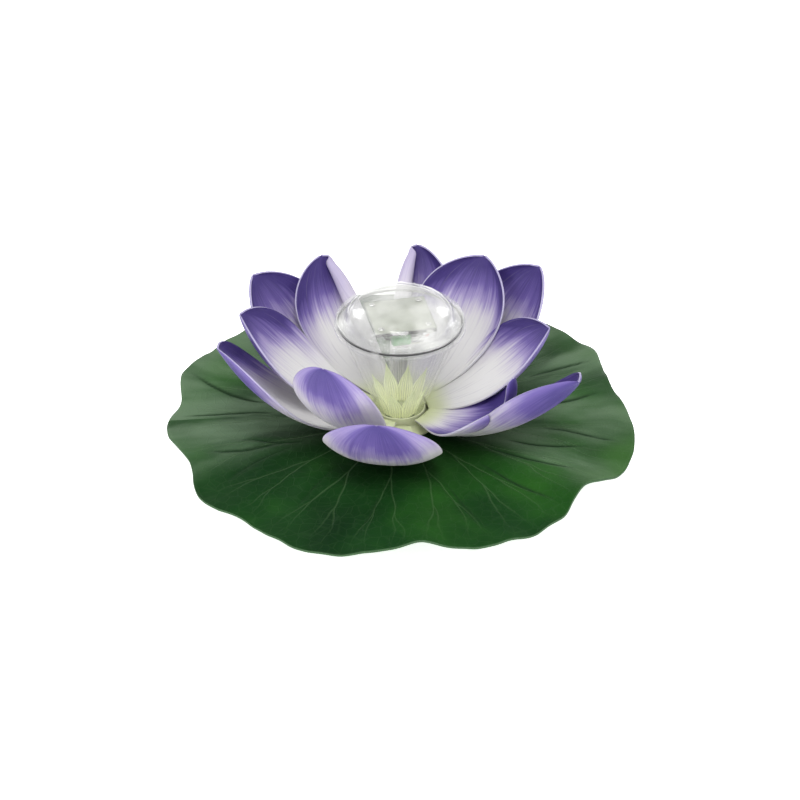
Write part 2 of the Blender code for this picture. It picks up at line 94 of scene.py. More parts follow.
WAVE_POWER = 2.4

# One row per petal, from the one that lies over all others down: azimuth, length, flattened width,
# rise of the midrib at root, middle and tip, curl of the clockwise and the anticlockwise half, roll,
# width of the tongue at the tip or 0.
PETALS = {
    "petal_inner_1": (10, 90, 62, (4, 34, 52), (55, 50), 0, 0),
    "petal_inner_2": (57, 103, 67, (4, 38, 64), (60, 60), 0, 0),
    "petal_inner_4": (172, 102, 61, (4, 38, 59), (45, 50), 0, 0),
    "petal_inner_3": (120.5, 102, 62, (4, 38, 60), (320, 30), 0, 0),
    "petal_inner_6": (325, 93, 61, (6, 31, 108), (46, 90), -2, 13),
    "petal_inner_5": (239, 111, 62, (2, 48, 92), (38, 50), 0, 0),
    "petal_outer_2": (84, 112, 60, (-7, 34, 60), (75, 280), 0, 0),
    "petal_outer_1": (38, 118, 67, (-7, 38, 60), (60, 60), 0, 0),
    "petal_outer_3": (147, 116, 70, (-7, 38, 60), (50, 55), 0, 0),
    "petal_outer_6": (332, 123, 66, (-9, 32, 60), (78, 62), -15, 0),
    "petal_outer_4": (192, 118, 66, (-8, 35, 64), (40, 38), 8, 0),
    "petal_outer_5": (262, 109, 74, (-9, 31, 92), (46, 46), 0, 0),
}
# Two petals roll over on one side and show their paler back. One is sprayed almost to its root, and
# two are sprayed less on the back.
ROLLED_OVER = ("petal_inner_3", "petal_outer_2")
DEEP_SPRAYED = "petal_inner_6"
LIGHT_BACKED = ("petal_inner_5", "petal_outer_5")
# Radius and height at which the petals of a row leave the hub.
INNER_ROOT = (16.6, 28.2)
OUTER_ROOT = (16.2, 24.9)
PETAL_FOAM = 1.1
PETAL_GAP = 0.3
PETAL_ROWS = 73
PETAL_COLUMNS = 41
CUTTER_ROWS = 25
CUTTER_COLUMNS = 17
FINE_STEPS = 96
# Outline of a petal: share of its length where it is widest, how it swells, width at its root and tip,
# and the part of the length that a tongue takes.
WIDEST_AT = 0.64
BELL_RISE = 1.15
ROOT_SHARE = 0.24
TIP_WIDTH = 1.6
TONGUE_SHARE = 0.2
TONGUE_ROUND = 0.86
# Half a petal bends more and more towards its edge, and a half whose curl is large rolls over.
CURL_POWER = 1.4
ROLL_POWER = 1.6
ROLLS_OVER = 120.0
TIGHTEST_CURL = 2.9
ARC_STEPS = 16
NEIGHBOUR_GAP = 80.0

# The solar plate and everything square under it are turned a little about the axis of the cup.
PANEL_TURN = 12.0
PANEL_SIDE = 37.0
SCREW_REACH = 14.2
CELL_Y = -12.4
CELL_Z = 84.4

# Cup, seal, pry tab and stamens.
RIM_TOP = 87.0
SEAL_RADIUS = 36.9
SEAL_HEIGHT = 87.95
SEAL_THICKNESS = 0.7
TAB_AZIMUTH = -112.0
TAB_TURN = TAB_AZIMUTH + 90.0
# Heights in metres between which the lime light fades out of the wall of the cup.
GLOW_BOTTOM = 0.030
GLOW_TOP = 0.062
CUP_FLUTES = 84
FLUTE_DEPTH = 0.16
ROUND_STEPS = 336
SMALL_STEPS = 48
CELL_STEPS = 96
STAMEN_COUNT = 8
STAMEN_AZIMUTH = -107.0
STAMEN_RADIUS = 9.7
STAMEN_FOOT = 26.5
STAMEN_HEIGHT = 20.5
STAMEN_WIDTH = 10.2
STAMEN_THICKNESS = 0.5
STAMEN_ROWS = 28
STAMEN_COLUMNS = 25
STAMEN_RIBS = 44.0
MERGE = 1e-6
WHITE = (1.0, 1.0, 1.0, 1.0)


# ---------------------------------------------------------------- materials

class Graph:
    """A material's node tree, built by short calls that return output sockets."""

    def __init__(self, name):
        self.material = bpy.data.materials.new(name)
        self.material.use_nodes = True
        self.tree = self.material.node_tree
        self.tree.nodes.clear()

    def node(self, kind, inputs=None, **settings):
        """A shader node of a kind, with its inputs by name or number and its settings."""
        made = self.tree.nodes.new("ShaderNode" + kind)
        for key, value in settings.items():
            setattr(made, key, value)
        for key, value in (inputs or {}).items():
            if isinstance(value, bpy.types.NodeSocket):
                self.tree.links.new(value, made.inputs[key])
            else:
                made.inputs[key].default_value = value
        return made

    def uv(self, name):
        """The two parts of a piece's UV layer, and both as one vector."""
        both = self.node("UVMap", uv_map=name).outputs["UV"]
        parts = self.split(both)
        return parts["X"], parts["Y"], both

    def split(self, vector):
        return self.node("SeparateXYZ", {0: vector}).outputs

    def math(self, operation, *values):
        made = self.node("Math", dict(enumerate(values)), operation=operation)
        return made.outputs[0]

    def plus(self, first, second):
        return self.math("ADD", first, second)

    def times(self, first, second):
        return self.math("MULTIPLY", first, second)

    def apart(self, first, second):
        return self.math("ABSOLUTE", self.math("SUBTRACT", first, second))

    def drift(self, value, noise, reach):
        """The value moved up or down by a noise."""
        return self.plus(value, self.times(self.math("SUBTRACT", noise, 0.5), reach))

    def smooth(self, value, low, high, start=0.0, end=1.0):
        """Eases from start to end while the value goes from low to high."""
        inputs = {"Value": value, "From Min": low, "From Max": high, "To Min": start, "To Max": end}
        made = self.node("MapRange", inputs, interpolation_type="SMOOTHSTEP")
        return made.outputs["Result"]

    def ramp(self, value, *stops):
        """A colour ramp through (place, colour) stops."""
        made = self.node("ValToRGB", {"Fac": value})
        elements = made.color_ramp.elements
        while len(elements) < len(stops):
            elements.new(0.5)
        for element, (place, colour) in zip(elements, stops):
            element.position = place
            element.color = (*colour, 1.0)
        return made.outputs["Color"]

    def blend(self, factor, first, second):
        """Mixes two colours."""
        made = self.node("Mix", data_type="RGBA", blend_type="MIX", clamp_factor=True)
        for index, value in ((0, factor), (6, first), (7, second)):
            if isinstance(value, bpy.types.NodeSocket):
                self.tree.links.new(value, made.inputs[index])
            else:
                made.inputs[index].default_value = value if index == 0 else (*value, 1.0)
        return made.outputs[2]

    def place(self, scale=(1.0, 1.0, 1.0)):
        """Position on the object in metres, multiplied by a scale."""
        coordinates = self.node("TexCoord").outputs["Object"]
        return self.scaled(coordinates, scale)

    def scaled(self, vector, scale):
        made = self.node("VectorMath", {0: vector, 1: scale}, operation="MULTIPLY")
        return made.outputs[0]

    def noise(self, vector, scale, detail=2.0, roughness=0.5):
        inputs = {"Vector": vector, "Scale": scale, "Detail": detail, "Roughness": roughness}
        return self.node("TexNoise", inputs).outputs["Fac"]

    def bump(self, height, distance, strength=1.0):
        inputs = {"Height": height, "Distance": distance, "Strength": strength}
        return self.node("Bump", inputs).outputs["Normal"]

    def surface(self, **inputs):
        """A Principled shader; underscores in the names stand for spaces."""
        named = {key.replace("_", " "): value for key, value in inputs.items()}
        return self.node("BsdfPrincipled", named).outputs["BSDF"]

    def mixed(self, factor, first, second):
        return self.node("MixShader", {0: factor, 1: first, 2: second}).outputs[0]

    def finish(self, shader):
        self.node("OutputMaterial", {"Surface": shader})
        return self.material


def petal_coordinates(mat):
    """Share along the petal from its root, and distance from its midrib as a share of half its width."""
    along, across, both = mat.uv("petal")
    from_middle = mat.apart(mat.times(across, 2.0), 1.0)
    return along, from_middle, both


def foam_surface(mat, colour, streaks, bump_depth=0.0004):
    """Matt moulded foam: lengthwise ribs and a fine grain."""
    grain = mat.noise(mat.place(), 2600.0)
    relief = mat.plus(streaks, mat.times(grain, 0.12))
    return mat.surface(
        Base_Color=colour, Roughness=mat.smooth(grain, 0.3, 0.7, 0.5, 0.62),
        Normal=mat.bump(relief, bump_depth, 0.6), Specular_IOR_Level=0.35,
    )


def sprayed_share(mat, along, both, cloud_scale, cloud_reach, deeper):
    """The share along a petal as the spray sees it: streaky, cloudy and moved towards the root."""
    streaks = mat.noise(mat.scaled(both, (2.0, 34.0, 1.0)), 1.0, 4.0, 0.6)
    cloud = mat.noise(mat.place(), cloud_scale)
    shifted = mat.drift(mat.drift(along, streaks, 0.30), cloud, cloud_reach)
    return mat.plus(shifted, deeper), streaks


def petal_inner_material(name, deeper=0.0):
    """Sprayed purple from the tip and down both borders, white in the middle, lime at the very root.

    The share deeper moves the spray down towards the root.
    """
    mat = Graph(name)
    along, from_middle, both = petal_coordinates(mat)
    shifted, streaks = sprayed_share(mat, along, both, 30.0, 0.22, deeper)
    border = mat.times(mat.smooth(from_middle, 0.40, 1.0), mat.smooth(shifted, 0.30, 0.76))
    amount = mat.plus(mat.smooth(shifted, 0.50, 1.02), mat.times(border, 0.55))
    colour = mat.ramp(
        amount, (0.0, (0.70, 0.690, 0.69)), (0.14, (0.58, 0.545, 0.63)), (0.34, (0.330, 0.275, 0.50)),
        (0.60, (0.130, 0.092, 0.310)), (0.92, (0.050, 0.031, 0.170)),
    )
    colour = mat.blend(mat.smooth(along, 0.20, 0.02, 0.0, 0.8), colour, (0.60, 0.66, 0.34))
    colour = mat.blend(mat.smooth(streaks, 0.56, 0.70, 0.0, 0.34), colour, (0.20, 0.17, 0.27))
    return mat.finish(foam_surface(mat, colour, streaks))


def petal_outer_material(name, border_from=0.60, border=0.55, deeper=0.0):
    """The back of a petal: purple from the tip, white at the root, paler from border_from outwards."""
    mat = Graph(name)
    along, from_middle, both = petal_coordinates(mat)
    shifted, streaks = sprayed_share(mat, along, both, 34.0, 0.24, deeper)
    pale = mat.smooth(from_middle, border_from, border_from + 0.4, 1.0, border)
    colour = mat.ramp(
        mat.times(mat.smooth(shifted, 0.40, 0.98), pale),
        (0.0, (0.68, 0.67, 0.67)), (0.14, (0.56, 0.52, 0.62)), (0.32, (0.310, 0.255, 0.49)),
        (0.58, (0.135, 0.097, 0.33)), (0.95, (0.060, 0.040, 0.20)),
    )
    colour = mat.blend(mat.smooth(streaks, 0.56, 0.70, 0.0, 0.32), colour, (0.20, 0.16, 0.32))
    return mat.finish(foam_surface(mat, colour, streaks))


def petal_rim_material():
    """The cut edge of the foam sheet, which stays a little paler than the faces."""
    mat = Graph("petal_rim")
    along, _, _ = petal_coordinates(mat)
    colour = mat.ramp(
        along, (0.0, (0.56, 0.56, 0.48)), (0.5, (0.54, 0.52, 0.62)), (1.0, (0.38, 0.34, 0.55))
    )
    grain = mat.noise(mat.place(), 3000.0)
    return mat.finish(foam_surface(mat, colour, grain, 0.0002))


def leaf_polar(mat):
    """Azimuth in turns and radius in metres, with the azimuth drifting a little from place to place."""
    place = mat.place()
    parts = mat.split(place)
    x, y = parts["X"], parts["Y"]
    turn = mat.math("DIVIDE", mat.math("ARCTAN2", y, x), 2 * pi)
    turn = mat.drift(turn, mat.noise(place, 22.0), 0.022)
    squares = mat.plus(mat.math("POWER", x, 2.0), mat.math("POWER", y, 2.0))
    return place, turn, mat.math("SQRT", squares)


def fork(mat, off, radius, start, opening, limit):
    """Splits a vein in two from a start radius on: off is the distance to it as a share of a sector."""
    grown = mat.math("MAXIMUM", mat.math("SUBTRACT", radius, start), 0.0)
    spread = mat.math("MINIMUM", mat.times(mat.math("POWER", grown, 0.8), opening), limit)
    return mat.apart(off, spread)


def vein_distance(mat, turn, radius, count):
    """Distance in metres to the nearest vein of a fan that forks twice on its way out."""
    sector = mat.times(turn, count)
    cell = mat.math("FLOOR", sector)
    dice = mat.node("TexWhiteNoise", {"W": cell}, noise_dimensions="1D").outputs["Value"]
    off = mat.apart(mat.math("FRACT", sector), 0.5)
    first_fork = mat.plus(0.052, mat.times(dice, 0.030))
    off = fork(mat, off, radius, first_fork, 2.6, 0.25)
    off = fork(mat, off, radius, mat.plus(first_fork, 0.036), 1.5, 0.12)
    arc = mat.times(mat.math("DIVIDE", off, count), 2 * pi)
    return mat.times(arc, radius)


def leaf_top_material():
    """Printed and embossed leaf: deep green with thin paler forking veins; a painted sheen makes the sides
    greyer, and painted shade darkens the creases and the middle under the petals.
    """
    mat = Graph("leaf_top")
    place, turn, radius = leaf_polar(mat)
    vein = mat.smooth(vein_distance(mat, turn, radius, VEIN_COUNT), 0.0008, 0.0001)
    vein = mat.times(vein, mat.smooth(radius, 0.142, 0.09))
    cells = mat.node(
        "TexVoronoi", {"Vector": place, "Scale": 150.0}, feature="DISTANCE_TO_EDGE"
    ).outputs["Distance"]
    net = mat.smooth(cells, 0.08, 0.0)
    cloud = mat.noise(place, 16.0, 3.0)
    patch = mat.noise(place, 9.0)
    # Painted sheen: the sides of the leaf are made lighter and greyer in colour, in radial streaks,
    # standing for the reflection of the studio in its gloss.
    forward = mat.drift(mat.math("DIVIDE", mat.split(place)["Y"], radius), patch, 0.5)
    side = mat.smooth(forward, -0.62, -0.38)
    spokes = mat.node(
        "CombineXYZ", {0: mat.times(turn, 26.0), 1: mat.times(radius, 11.0)}
    ).outputs[0]
    painted_sheen = mat.times(mat.smooth(mat.noise(spokes, 1.0, 3.0), 0.34, 0.66, 0.15, 0.95), side)
    bright = mat.times(mat.smooth(patch, 0.56, 0.70), mat.smooth(radius, 0.085, 0.135))
    crease_shade, _, _ = mat.uv("crease")
    green = mat.ramp(
        cloud, (0.28, (0.003, 0.022, 0.004)), (0.5, (0.006, 0.040, 0.006)), (0.72, (0.016, 0.084, 0.009))
    )
    for factor, colour in (
        (painted_sheen, (0.115, 0.185, 0.105)),
        (mat.times(bright, 0.5), (0.045, 0.140, 0.022)),
        # Painted shade: darker towards the middle, where the petals and the cup stand over the leaf.
        (mat.smooth(radius, 0.098, 0.045, 0.0, 0.62), (0.004, 0.018, 0.004)),
        (mat.times(vein, 0.24), (0.11, 0.20, 0.085)),
        (mat.times(net, 0.08), (0.06, 0.13, 0.05)),
        # Painted shade in the bottoms of the creases.
        (mat.smooth(crease_shade, 0.14, 0.95, 0.0, 0.85), (0.010, 0.030, 0.010)),
    ):
        green = mat.blend(factor, green, colour)
    relief = mat.plus(mat.times(vein, -1.0), mat.times(net, 0.18))
    relief = mat.plus(relief, mat.times(mat.noise(place, 900.0), 0.10))
    return mat.finish(mat.surface(
        Base_Color=green, Roughness=mat.smooth(cloud, 0.3, 0.7, 0.45, 0.58),
        Normal=mat.bump(relief, 0.0006, 0.7), Specular_IOR_Level=0.08,
    ))


def leaf_back_material():
    """The underside of the leaf: plain pale-green foam with a closed-cell grain."""
    mat = Graph("leaf_underside")
    place, turn, radius = leaf_polar(mat)
    rib = mat.smooth(vein_distance(mat, turn, radius, UNDERSIDE_RIBS), 0.0022, 0.0004)
    grain = mat.noise(place, 700.0, 3.0)
    colour = mat.ramp(grain, (0.3, (0.045, 0.13, 0.045)), (0.7, (0.07, 0.18, 0.065)))
    colour = mat.blend(mat.times(rib, 0.35), colour, (0.13, 0.27, 0.11))
    relief = mat.plus(rib, mat.times(grain, 0.3))
    return mat.finish(mat.surface(Base_Color=colour, Roughness=0.78, Normal=mat.bump(relief, 0.0005)))


def leaf_rim_material():
    mat = Graph("leaf_rim")
    grain = mat.noise(mat.place(), 1500.0)
    colour = mat.ramp(grain, (0.3, (0.020, 0.065, 0.018)), (0.7, (0.035, 0.10, 0.030)))
    return mat.finish(mat.surface(Base_Color=colour, Roughness=0.7, Normal=mat.bump(grain, 0.0002)))


def clear_material(name, haze, grain_depth, streak_count=0.0, glow_top=None):
    """Clear moulded plastic: see-through, bright gloss at grazing angles, faintly milky, with a painted
    glow in the milk.

    With a streak_count the milk lies in upright streaks round the axis, and else in soft clouds.
    Below the height glow_top the milk takes the lime light of the leaflets that stand inside.
    """
    mat = Graph(name)
    place = mat.place()
    parts = mat.split(place)
    if streak_count:
        turn = mat.math("ARCTAN2", parts["Y"], parts["X"])
        lines = mat.node(
            "CombineXYZ", {0: mat.times(turn, streak_count), 1: mat.times(parts["Z"], 6.0)}
        ).outputs[0]
        streaks = mat.noise(lines, 1.0, 3.0, 0.6)
    else:
        streaks = mat.noise(place, 55.0, 3.0)
    cloud = mat.noise(place, 70.0)
    milk = mat.times(mat.smooth(streaks, 0.42, 0.72, 0.35, 2.2), haze)
    colour = mat.ramp(cloud, (0.3, (0.86, 0.86, 0.83)), (0.7, (0.95, 0.95, 0.92)))
    if glow_top:
        low = mat.smooth(parts["Z"], glow_top, GLOW_BOTTOM)
        colour = mat.blend(low, colour, (0.80, 0.88, 0.42))
        milk = mat.times(milk, mat.plus(1.0, mat.times(low, 1.2)))
    normal = mat.bump(mat.plus(streaks, mat.times(cloud, 0.6)), grain_depth, 0.5)
    see = mat.node("BsdfTransparent", {"Color": (0.996, 0.998, 0.996, 1.0)}).outputs[0]
    # Painted light: a faint emission makes the milk glow and stay bright.
    body = mat.surface(
        Base_Color=colour, Roughness=0.35, Normal=normal, Emission_Color=(1.0, 1.0, 0.97, 1.0),
        Emission_Strength=0.22,
    )
    gloss = mat.node(
        "BsdfGlossy", {"Color": WHITE, "Roughness": 0.16, "Normal": normal}
    ).outputs[0]
    facing = mat.node("LayerWeight", {"Blend": 0.5, "Normal": normal}).outputs["Facing"]
    edge = mat.plus(mat.times(mat.math("POWER", facing, 3.0), 0.65), 0.04)
    return mat.finish(mat.mixed(edge, mat.mixed(milk, see, body), gloss))


def stamen_material():
    """Translucent lime leaflets with darker lengthwise ribs, lit through from behind, with a painted glow
    by emission.
    """
    mat = Graph("stamen_lime")
    along, across, _ = mat.uv("petal")
    waves = mat.math("SINE", mat.times(across, STAMEN_RIBS))
    colour = mat.ramp(
        along, (0.0, (0.80, 0.83, 0.52)), (0.5, (0.82, 0.86, 0.58)), (1.0, (0.82, 0.90, 0.52))
    )
    colour = mat.blend(mat.times(mat.smooth(waves, 0.0, 1.0), 0.60), colour, (0.36, 0.38, 0.22))
    # Painted glow: the leaflets shine by emission in their own colour, though they are no lamp.
    body = mat.surface(
        Base_Color=colour, Roughness=0.4, Normal=mat.bump(waves, 0.0004),
        Emission_Color=colour, Emission_Strength=0.55,
    )
    glow = mat.node("BsdfTranslucent", {"Color": colour}).outputs[0]
    see = mat.node("BsdfTransparent").outputs[0]
    lit = mat.mixed(0.4, body, glow)
    return mat.finish(mat.mixed(mat.smooth(along, 0.4, 1.0, 0.08, 0.3), lit, see))


def grained_material(name, dark, light, roughness, scale, depth):
    """One colour broken by a grain in tone, gloss and relief."""
    mat = Graph(name)
    place = mat.place()
    grain = mat.noise(place, scale, 3.0)
    cloud = mat.noise(place, scale / 12.0)
    tone = mat.plus(mat.times(grain, 0.6), mat.times(cloud, 0.4))
    return mat.finish(mat.surface(
        Base_Color=mat.ramp(tone, (0.3, dark), (0.7, light)), Normal=mat.bump(grain, depth),
        Roughness=mat.smooth(grain, 0.3, 0.7, roughness - 0.06, roughness + 0.06),
    ))


def brushed_material(name, colour, roughness):
    """Drawn metal with fine lines along X."""
    mat = Graph(name)
    lines = mat.noise(mat.place((60.0, 2400.0, 2400.0)), 1.0, 3.0)
    dark = tuple(0.7 * share for share in colour)
    return mat.finish(mat.surface(
        Base_Color=mat.ramp(lines, (0.3, dark), (0.7, colour)), Metallic=1.0,
        Roughness=mat.smooth(lines, 0.3, 0.7, roughness - 0.05, roughness + 0.08),
        Normal=mat.bump(lines, 0.00008),
    ))


def panel_material():
    """Pale glossy resin over the cells, whose strips show faintly through it."""
    mat = Graph("panel_resin")
    turned = mat.node(
        "VectorRotate", {"Vector": mat.place(), "Angle": radians(-PANEL_TURN)},
        rotation_type="Z_AXIS",
    ).outputs[0]
    parts = mat.split(turned)
    strips = mat.math("FRACT", mat.times(mat.plus(parts["Y"], 0.1), 260.0))
    line = mat.smooth(mat.apart(strips, 0.5), 0.47, 0.5)
    edges = [mat.smooth(mat.math("ABSOLUTE", parts[axis]), 0.0174, 0.0180) for axis in "XY"]
    border = mat.math("MAXIMUM", *edges)
    cloud = mat.noise(mat.place(), 90.0, 3.0)
    colour = mat.ramp(cloud, (0.3, (0.34, 0.36, 0.30)), (0.7, (0.46, 0.48, 0.41)))
    colour = mat.blend(mat.times(line, 0.3), colour, (0.55, 0.56, 0.50))
    colour = mat.blend(mat.times(border, 0.55), colour, (0.22, 0.23, 0.20))
    return mat.finish(mat.surface(
        Base_Color=colour, Roughness=mat.smooth(cloud, 0.3, 0.7, 0.16, 0.24), Coat_Weight=0.6,
        Coat_Roughness=0.05, Normal=mat.bump(cloud, 0.00025, 0.4),
    ))


def lamp_material():
    """Clear epoxy with a faint warm tint."""
    mat = Graph("lamp_epoxy_clear")
    cloud = mat.noise(mat.place(), 500.0)
    return mat.finish(mat.surface(
        Base_Color=mat.ramp(cloud, (0.3, (0.86, 0.86, 0.78)), (0.7, (0.95, 0.95, 0.88))),
        Roughness=0.08, Transmission_Weight=0.8, IOR=1.5,
    ))


# ---------------------------------------------------------------- shared shapes

def add_object(name, data):
    made = bpy.data.objects.new(name, data)
    bpy.context.scene.collection.objects.link(made)
    return made


def azimuth_gap(first, second):
    return abs((first - second + 180.0) % 360.0 - 180.0)


def finish_mesh(shell, name, angle=40.0):
    mesh = bpy.data.meshes.new(name)
    shell.to_mesh(mesh)
    shell.free()
    mesh.shade_smooth()
    mesh.set_sharp_from_angle(angle=radians(angle))
    return mesh


def grid_mesh(name, grid, angle):
    """A sheet through rows of points in millimetres, with its length and width laid out as UV."""
    sheet = bmesh.new()
    layout = sheet.loops.layers.uv.new("petal")
    rows, columns = len(grid), len(grid[0])
    placed = [[sheet.verts.new(point * MM) for point in line] for line in grid]
    for row in range(rows - 1):
        for column in range(columns - 1):
            corners = ((row, column), (row + 1, column), (row + 1, column + 1), (row, column + 1))
            face = sheet.faces.new([placed[i][j] for i, j in corners])
            for loop, (i, j) in zip(face.loops, corners):
                loop[layout].uv = (i / (rows - 1), j / (columns - 1))
    return finish_mesh(sheet, name, angle)


def ring_place(radius, azimuth, height):
    turn = radians(azimuth)
    return Vector((radius * cos(turn), radius * sin(turn), height))


def turned_place(x, y, z):
    """A place given in the solar plate's turned frame."""
    turn = radians(PANEL_TURN)
    return Vector((x * cos(turn) - y * sin(turn), x * sin(turn) + y * cos(turn), z))


def settle(piece, location=(0, 0, 0), turn=(0, 0, 0)):
    """Bakes modifiers and the place, given in millimetres and degrees, into the mesh of a piece."""
    piece.location = Vector(location) * MM
    piece.rotation_euler = [radians(angle) for angle in turn]
    bpy.context.view_layer.update()
    built = piece.evaluated_get(bpy.context.evaluated_depsgraph_get())
    shaped = bpy.data.meshes.new_from_object(built)
    shaped.transform(piece.matrix_world)
    piece.modifiers.clear()
    piece.data = shaped
    piece.location = (0, 0, 0)
    piece.rotation_euler = (0, 0, 0)
    return piece


def thicken_sheet(piece, thickness):
    """Grows a sheet to both sides: material slot 0 is its face, 1 its back and 2 its rim."""
    shell = piece.modifiers.new("thickness", "SOLIDIFY")
    shell.thickness = thickness * MM
    shell.offset = 0.0
    shell.material_offset = 1
    shell.material_offset_rim = 2


def cut_by(piece, other):
    cut = piece.modifiers.new("gap", "BOOLEAN")
    cut.solver = "EXACT"
    cut.operation = "DIFFERENCE"
    cut.object = other


def cut_out(piece, mesh):
    """Cuts a closed mesh out of a piece for good."""
    cutter = add_object("cutter", mesh)
    cut_by(piece, cutter)
    settle(piece)
    bpy.data.objects.remove(cutter)


def add_piece(name, mesh, materials, body, slot, *nodes):
    """A piece with its materials that rides on a body and may stand for CAD nodes."""
    piece = add_object(name, mesh)
    for material in materials:
        mesh.materials.append(material)
    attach(piece, body)
    if nodes:
        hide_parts(*nodes)
    return piece


def smooth_profile(profile, radius=0.35, steps=4):
    """Rounds the corners of a line of (radius, height) points with short curves."""
    points = [Vector(point) for point in profile]
    rounded = [points[0]]
    for before, corner, after in zip(points, points[1:], points[2:]):
        reach = min(radius, 0.45 * (corner - before).length, 0.45 * (after - corner).length)
        start = corner + (before - corner).normalized() * reach
        end = corner + (after - corner).normalized() * reach
        for step in range(steps + 1):
            share = step / steps
            rounded.append(
                start * (1 - share) ** 2 + corner * 2 * share * (1 - share) + end * share**2
            )
    rounded.append(points[-1])
    return [(point.x, point.y) for point in rounded]


def turned_mesh(name, profile, steps=ROUND_STEPS, ripple=None):
    """The surface turned by a line of (radius, height) points; a ripple moves its radius."""
    line = bpy.data.meshes.new(name)
    points = [(radius * MM, 0.0, height * MM) for radius, height in profile]
    line.from_pydata(points, [(index, index + 1) for index in range(len(points) - 1)], [])
    spinner = add_object(name, line)
    screw = spinner.modifiers.new("spin", "SCREW")
    screw.steps = steps
    screw.render_steps = steps
    screw.use_merge_vertices = True
    screw.merge_threshold = MERGE
    settle(spinner)
    mesh = spinner.data
    bpy.data.objects.remove(spinner)
    if ripple:
        for vertex in mesh.vertices:
            turn = atan2(vertex.co.y, vertex.co.x)
            radius = hypot(vertex.co.x, vertex.co.y) / MM
            grown = radius + ripple(turn, vertex.co.z / MM)
            vertex.co = Vector((cos(turn) * grown * MM, sin(turn) * grown * MM, vertex.co.z))
    mesh.shade_smooth()
    mesh.set_sharp_from_angle(angle=radians(35.0))
    return mesh


def box_mesh(name, size, place, bevel=0.2, turn=PANEL_TURN):
    """A box with rounded edges at a place in the solar plate's turned frame."""
    shell = bmesh.new()
    bmesh.ops.create_cube(shell, size=MM)
    bmesh.ops.scale(shell, vec=size, verts=shell.verts)
    bmesh.ops.bevel(
        shell, geom=list(shell.edges), offset=bevel * MM, segments=3, affect="EDGES", profile=0.5
    )
    mesh = finish_mesh(shell, name, 30.0)
    holder = add_object(name, mesh)
    settle(holder, turned_place(*place), (0, 0, turn))
    made = holder.data
    bpy.data.objects.remove(holder)
    return made


def joined(name, meshes):
    """One mesh from several."""
    shell = bmesh.new()
    for mesh in meshes:
        shell.from_mesh(mesh)
    made = bpy.data.meshes.new(name)
    shell.to_mesh(made)
    shell.free()
    return made


# ---------------------------------------------------------------- leaf

def lobe_sum(azimuth, lobes):
    """The sum of bell-shaped bumps at this azimuth, all in degrees round the leaf."""
    total = 0.0
    for centre, size, width in lobes:
        total += size * exp(-((azimuth_gap(azimuth, centre) / width) ** 2))
    return total


def creases_near(azimuth, share, radius):
    """The creases that run past here: depth, half width, strength along the crease, distance to it."""
    found = []
    for inner, outer, start, stop, depth, width in LEAF_CREASES:
        if start < share < stop:
            run = (share - start) / (stop - start)
            centre = inner + (outer - inner) * run**CREASE_BEND
            arc = radians(azimuth_gap(azimuth, centre)) * radius
            found.append((depth, width, sin(pi * run) ** 0.7, arc))
    return found


def crease_sum(azimuth, share, radius):
    """How far the creases press the leaf down here: a sharp valley between two soft shoulders."""
    total = 0.0
    for depth, width, strength, arc in creases_near(azimuth, share, radius):
        valley = exp(-arc / width) - 0.45 * exp(-((arc / (4 * width)) ** 2))
        total += CREASE_DEPTH * depth * strength * valley
    return total


def crease_shade_amount(azimuth, share, radius):
    """How much painted shade the bottom of a crease gets here, from 0 to about 1.6."""
    shade_amounts = [
        depth * strength * exp(-arc / (0.55 * width))
        for depth, width, strength, arc in creases_near(azimuth, share, radius)
    ]
    return max(shade_amounts, default=0.0)


def leaf_lift(azimuth, share, radius):
    """Height of the leaf over its flat middle plane: waved edge, gentle crown, creases, small ripples."""
    waves = lobe_sum(azimuth, LEAF_WAVES) * share**WAVE_POWER
    front = 0.5 + 0.5 * cos(radians(azimuth - FRONT_AZIMUTH))
    crown = (3.4 * front**1.5 - 0.6) * sin(pi * share) ** 2
    place = ring_place(radius, azimuth, 0.0)
    ripple = noise.noise(place / 26.0) * 1.1 + noise.noise(place / 9.0) * 0.35
    edge = noise.noise(Vector((*(place.xy / radius * 7.0), 3.7))) * 3.0 * share**6
    quiet = min(max((share - 0.3) / 0.3, 0.0), 1.0)
    return waves + crown + (ripple + edge) * quiet - crease_sum(azimuth, share, radius) * quiet


def build_leaf():
    sheet = bmesh.new()
    layout = sheet.loops.layers.uv.new("crease")
    # The UV layer crease carries the painted shade of the creases and the share of the radius.
    shade_amounts = {}
    rings = []
    for ring in range(LEAF_RINGS + 1):
        share = ring / LEAF_RINGS
        line = []
        for step in range(LEAF_AROUND):
            azimuth = 360.0 * step / LEAF_AROUND
            reach = LEAF_RADIUS + lobe_sum(azimuth, LEAF_LOBES)
            reach += noise.noise(ring_place(3.0, azimuth * 4.0, 1.3)) * 0.8
            radius = STEM_HOLE + (reach - STEM_HOLE) * share
            height = LEAF_MIDDLE + leaf_lift(azimuth, share, radius)
            vertex = sheet.verts.new(ring_place(radius, azimuth, height) * MM)
            shade_amounts[vertex] = (crease_shade_amount(azimuth, share, radius), share)
            line.append(vertex)
        rings.append(line)
    for inner, outer in zip(rings, rings[1:]):
        for step in range(LEAF_AROUND):
            after = (step + 1) % LEAF_AROUND
            face = sheet.faces.new((inner[step], outer[step], outer[after], inner[after]))
            for loop in face.loops:
                loop[layout].uv = shade_amounts[loop.vert]
    mesh = finish_mesh(sheet, "leaf", 70.0)
    materials = (leaf_top_material(), leaf_back_material(), leaf_rim_material())
    leaf = add_piece("leaf", mesh, materials, "flower", "leaf_foam", "leaf_pad")
    thicken_sheet(leaf, LEAF_THICKNESS)


# ---------------------------------------------------------------- petals

